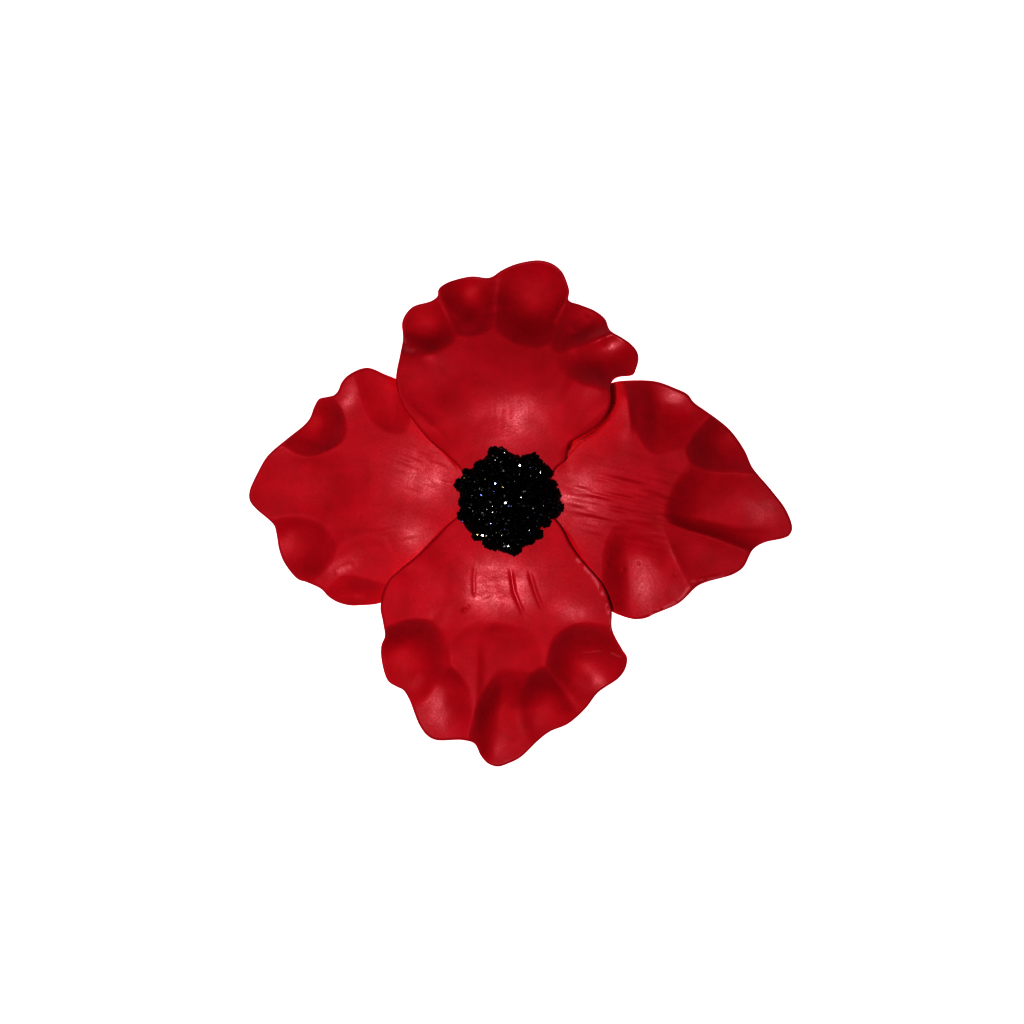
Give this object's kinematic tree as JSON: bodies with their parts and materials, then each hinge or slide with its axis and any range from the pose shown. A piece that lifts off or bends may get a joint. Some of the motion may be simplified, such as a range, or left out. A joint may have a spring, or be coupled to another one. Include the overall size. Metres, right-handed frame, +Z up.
{
  "type": "artificial poppy flower",
  "caption": "Hand-made poppy head with four pressed, wavy petals in two overlapping layers and a mound of coarse crystals.",
  "frame": {"origin": "on the supporting surface, straight under the middle of the crystal mound", "axes": "+Z up out of the open flower, square to the supporting surface; +Y towards the middle of the upper petal at the back; +X towards the wide lower petal on the right"},
  "size_m": [0.0903, 0.0843, 0.0116],
  "materials": {
    "petal_paste": "satin",
    "black_crystal": "glossy"
  },
  "bodies": {
    "root": {"petal_left": "petal_paste", "petal_right": "petal_paste", "petal_top": "petal_paste", "petal_bottom": "petal_paste", "crystal_centre": "black_crystal"}
  },
  "joints": []
}
